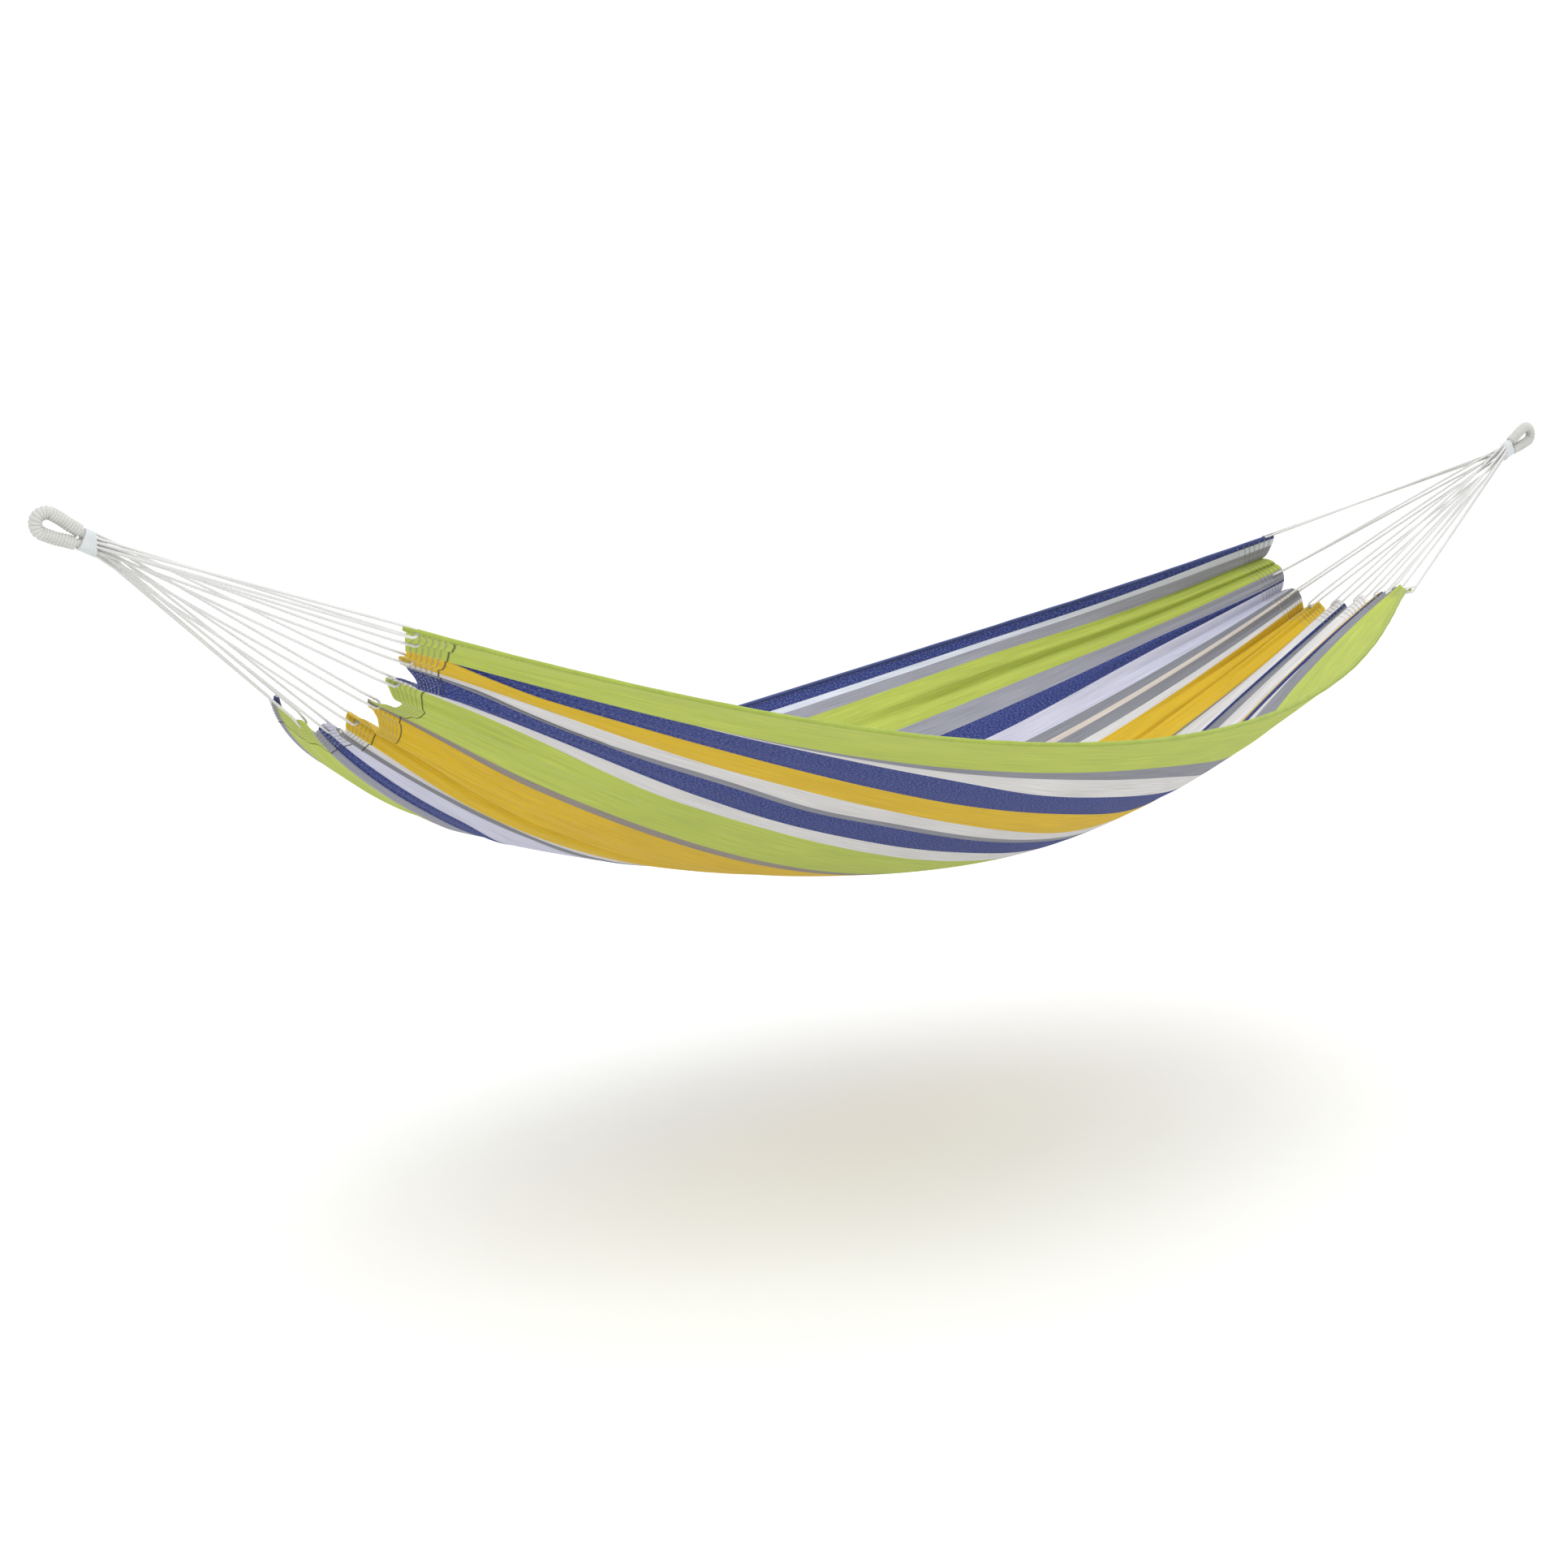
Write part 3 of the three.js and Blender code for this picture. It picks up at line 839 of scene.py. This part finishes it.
class Nodes:
    """One material, with short names for the nodes that it is built from."""

    def __init__(self, name, roughness, sheen=0.0):
        self.material = bpy.data.materials.new(name)
        self.material.use_nodes = True
        self.tree = self.material.node_tree
        self.shader = self.tree.nodes["Principled BSDF"]
        self.shader.inputs["Roughness"].default_value = roughness
        self.shader.inputs["Specular IOR Level"].default_value = 0.2
        self.shader.inputs["Sheen Weight"].default_value = sheen
        self.shader.inputs["Sheen Roughness"].default_value = 0.6

    def link(self, out, into):
        self.tree.links.new(out, into)

    def math(self, operation, *values):
        node = self.tree.nodes.new("ShaderNodeMath")
        node.operation = operation
        for socket, value in zip(node.inputs, values):
            if isinstance(value, (int, float)):
                socket.default_value = value
            else:
                self.link(value, socket)
        return node.outputs[0]

    def noise(self, vector, scale, detail=2.0):
        node = self.tree.nodes.new("ShaderNodeTexNoise")
        node.inputs["Scale"].default_value = scale
        node.inputs["Detail"].default_value = detail
        self.link(vector, node.inputs["Vector"])
        return node.outputs["Fac"]

    def coordinate(self, name):
        return self.tree.nodes.new("ShaderNodeTexCoord").outputs[name]

    def stretch(self, vector, scale):
        node = self.tree.nodes.new("ShaderNodeMapping")
        node.inputs["Scale"].default_value = scale
        self.link(vector, node.inputs["Vector"])
        return node.outputs["Vector"]

    def mix(self, factor, first, second, blend="MIX"):
        node = self.tree.nodes.new("ShaderNodeMix")
        node.data_type = "RGBA"
        node.blend_type = blend
        sockets = [s for s in node.inputs if s.enabled]
        for socket, value in zip(sockets, (factor, first, second)):
            if isinstance(value, (int, float, tuple)):
                socket.default_value = value
            else:
                self.link(value, socket)
        return next(s for s in node.outputs if s.enabled)

    def tint(self, colour, factor, dark, light, spread=0.2):
        """The colour times a grey that runs from dark to light with the factor."""
        stops = [(0.5 - spread, grey(dark)), (0.5 + spread, grey(light))]
        return self.mix(1.0, colour, self.ramp(factor, stops), "MULTIPLY")

    def bump(self, height, strength, distance, normal=None):
        node = self.tree.nodes.new("ShaderNodeBump")
        node.inputs["Strength"].default_value = strength
        node.inputs["Distance"].default_value = distance
        self.link(height, node.inputs["Height"])
        if normal is not None:
            self.link(normal, node.inputs["Normal"])
        return node.outputs["Normal"]

    def ramp(self, factor, stops, interpolation="LINEAR"):
        node = self.tree.nodes.new("ShaderNodeValToRGB")
        node.color_ramp.interpolation = interpolation
        elements = node.color_ramp.elements
        while len(elements) > 1:
            elements.remove(elements[-1])
        for i, (place, colour) in enumerate(stops):
            element = elements[0] if i == 0 else elements.new(place)
            element.position = place
            element.color = colour
        self.link(factor, node.inputs["Fac"])
        return node.outputs["Color"]


def grey(value):
    return (value, value, value, 1.0)


# How much of each stripe's yarn is flecked with pale blue.
FLECKED = {"blue": 0.85, "grey": 0.45, "steel": 0.5, "lavender": 0.3, "taupe": 0.4}
PLAIN_FLECK = 0.25
FLECK_STRENGTH = 0.34
FLECK_COLOUR = (136, 152, 208)
# Painted shade along the stitch grooves of the doubled bands: its colour and half width.
STITCH_GROOVE_SHADE_COLOUR = (90, 84, 60)
STITCH_GROOVE_SHADE_HALF_WIDTH = 0.0011
SEAM_COLOUR = (60, 60, 50)
SEAM_HALF_WIDTH = 0.0016
WARP_PITCH = 0.0016
WEFT_PITCH = 0.0013


def cloth_material():
    """Striped woven cotton. Its UV is the place on the cut cloth in metres."""
    n = Nodes("striped_woven_cloth", 0.92, sheen=0.03)
    uv = n.coordinate("UV")
    split = n.tree.nodes.new("ShaderNodeSeparateXYZ")
    n.link(uv, split.inputs[0])
    across, along = split.outputs["X"], split.outputs["Y"]
    share = n.math("DIVIDE", across, CLOTH_WIDTH)
    stripes = [(float(place), linear(COLOURS[name])) for place, (name, _) in zip(EDGES, STRIPES)]
    colour = n.ramp(share, stripes, "CONSTANT")
    masks = [(float(place), grey(FLECKED.get(name, PLAIN_FLECK)))
             for place, (name, _) in zip(EDGES, STRIPES)]
    mask = n.ramp(share, masks, "CONSTANT")
    # Long streaks in the yarn, flecks of pale yarn, and wide uneven patches.
    streak = n.noise(n.stretch(uv, (420, 9, 1)), 1.0, 3.0)
    speckle = n.noise(n.stretch(uv, (520, 210, 1)), 1.0, 2.0)
    patchy = n.noise(n.stretch(uv, (14, 5, 1)), 1.0, 3.0)
    colour = n.tint(colour, streak, 0.76, 1.10, spread=0.25)
    colour = n.tint(colour, patchy, 0.95, 1.03)
    fleck = n.math("MULTIPLY", n.ramp(speckle, [(0.47, grey(0)), (0.62, grey(1))]), mask)
    colour = n.mix(n.math("MULTIPLY", fleck, FLECK_STRENGTH), colour, linear(FLECK_COLOUR))
    # Rows of stitching inside both doubled bands press grooves into the cloth; painted shade darkens a
    # line along each row.
    near_hem = n.math("MINIMUM", along, n.math("SUBTRACT", CLOTH_LENGTH, along))
    from_row = n.math("SUBTRACT", near_hem, FIRST_STITCH_ROW - STITCH_ROW_PITCH / 2)
    cycle = n.math("FRACT", n.math("DIVIDE", from_row, STITCH_ROW_PITCH))
    off_row = n.math("MULTIPLY", n.math("ABSOLUTE", n.math("SUBTRACT", cycle, 0.5)), STITCH_ROW_PITCH)
    on_row = n.math("LESS_THAN", off_row, STITCH_GROOVE_SHADE_HALF_WIDTH)
    in_band = n.math("LESS_THAN", near_hem, BAND_LENGTH - FIRST_STITCH_ROW)
    groove_shade = n.math("MULTIPLY", n.math("MULTIPLY", on_row, in_band), 0.30)
    colour = n.mix(groove_shade, colour, linear(STITCH_GROOVE_SHADE_COLOUR))
    # The seam of the left band shows as one dark line.
    off_seam = n.math("ABSOLUTE", n.math("SUBTRACT", along, BAND_LENGTH))
    on_seam = n.math("MULTIPLY", n.math("LESS_THAN", off_seam, SEAM_HALF_WIDTH), 0.45)
    colour = n.mix(on_seam, colour, linear(SEAM_COLOUR))
    n.link(colour, n.shader.inputs["Base Color"])
    warp = n.math("SINE", n.math("MULTIPLY", across, 2 * math.pi / WARP_PITCH))
    weft = n.math("SINE", n.math("MULTIPLY", along, 2 * math.pi / WEFT_PITCH))
    weave = n.bump(n.math("MULTIPLY", warp, weft), 0.35, 0.0003)
    n.link(n.bump(streak, 0.30, 0.0008, weave), n.shader.inputs["Normal"])
    return n.material


def plain_cloth_material(name, colour):
    """Rolled or folded cloth of one colour, or sewing thread, with weave and wear."""
    n = Nodes(name, 0.9, sheen=0.1)
    place = n.coordinate("Object")
    fine = n.noise(place, 700, 2.0)
    soft = n.noise(place, 45, 3.0)
    base = n.tint(linear(colour), fine, 0.82, 1.06)
    base = n.tint(base, soft, 0.90, 1.04)
    n.link(base, n.shader.inputs["Base Color"])
    n.link(n.bump(fine, 0.5, 0.0005), n.shader.inputs["Normal"])
    return n.material


def cotton_material(name, colour, scale, dirt):
    """Twisted cotton: fibres, slight soiling and a soft surface."""
    n = Nodes(name, 0.88, sheen=0.25)
    place = n.coordinate("Object")
    fibre = n.noise(n.stretch(place, (1, 1, 2.2)), scale, 3.0)
    soil = n.noise(place, 22, 3.0)
    base = n.tint(linear(colour), fibre, 0.86, 1.04)
    base = n.tint(base, soil, 1 - dirt, 1.0, spread=0.15)
    n.link(base, n.shader.inputs["Base Color"])
    n.link(n.bump(fibre, 0.6, 0.0004), n.shader.inputs["Normal"])
    return n.material


def floor_material():
    n = Nodes("pale_floor", 0.95)
    soft = n.noise(n.coordinate("Object"), 1.5, 2.0)
    n.link(n.ramp(soft, [(0.3, grey(0.94)), (0.7, grey(0.96))]), n.shader.inputs["Base Color"])
    return n.material


# ---------------------------------------------------------------- floor and light
def add_stage():
    """A plain floor that reaches the horizon."""
    half = 60.0
    sides = ((-half, -half), (half, -half), (half, half), (-half, half))
    corners = [(x, y, -FLOOR_DROP) for x, y in sides]
    floor = add_mesh("floor", corners, [(0, 1, 2, 3)], smooth=False)
    floor.data.materials.append(floor_material())


def add_light(name, place, target, size, energy):
    data = bpy.data.lights.new(name, "AREA")
    data.size = size
    data.energy = energy
    lamp = bpy.data.objects.new(name, data)
    bpy.context.scene.collection.objects.link(lamp)
    lamp.location = place
    lamp.rotation_mode = "QUATERNION"
    lamp.rotation_quaternion = (Vector(target) - Vector(place)).to_track_quat("-Z", "Y")


def add_world():
    """White surroundings with two large soft lamps."""
    world = bpy.data.worlds.new("studio")
    world.use_nodes = True
    background = world.node_tree.nodes["Background"]
    background.inputs["Color"].default_value = grey(1)
    background.inputs["Strength"].default_value = 1.12
    bpy.context.scene.world = world
    middle = CENTRE + [0, 0, -0.4]
    add_light("key", place=CENTRE + [-1.5, -2.5, 2.6], target=middle, size=2.5, energy=46)
    add_light("top", place=CENTRE + [0.4, 0.4, 2.6], target=middle, size=3.0, energy=26)


def main():
    bpy.context.scene.view_settings.view_transform = "Standard"
    add_camera()
    add_world()
    add_stage()
    cord_finish = cotton_material("white_cotton_cord", CORD_COLOUR, scale=900, dirt=0.06)
    add_clew_cords(cord_finish)
    seizing_finish = cotton_material("pale_twine", TWINE_COLOUR, scale=1200, dirt=0.06)
    eye_finish = cotton_material("wound_cotton_cord", EYE_COLOUR, scale=1000, dirt=0.10)
    for right_end in (False, True):
        add_eye(right_end, eye_finish, seizing_finish)
    cloth = add_cloth(cloth_material())
    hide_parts("bed_cloth", "left_end_band", "right_end_band")
    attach(cloth, "sling")
    green_hem = plain_cloth_material("green_hem", GREEN_HEM_COLOUR)
    blue_hem = plain_cloth_material("blue_hem", BLUE_HEM_COLOUR)
    near_roll = add_edge_roll("near_edge_roll", False, green_hem, "near_edge_hem")
    far_roll = add_edge_roll("far_edge_roll", True, blue_hem, "far_edge_hem")
    dark_thread = plain_cloth_material("dark_thread", DARK_THREAD_COLOUR)
    pale_thread = plain_cloth_material("pale_thread", PALE_THREAD_COLOUR)
    for right_end, side in ((False, "left"), (True, "right")):
        add_stitches(f"{side}_hem_stitches", hem_rows(right_end), pale_thread)
        seam_thread = pale_thread if right_end else dark_thread
        add_stitches(f"{side}_band_stitches", band_row(right_end), seam_thread)
    add_stitches("near_rim_stitches", rim_row(False), dark_thread)
    add_stitches("far_rim_stitches", rim_row(True), dark_thread)
    add_eyelets(pale_thread)


main()
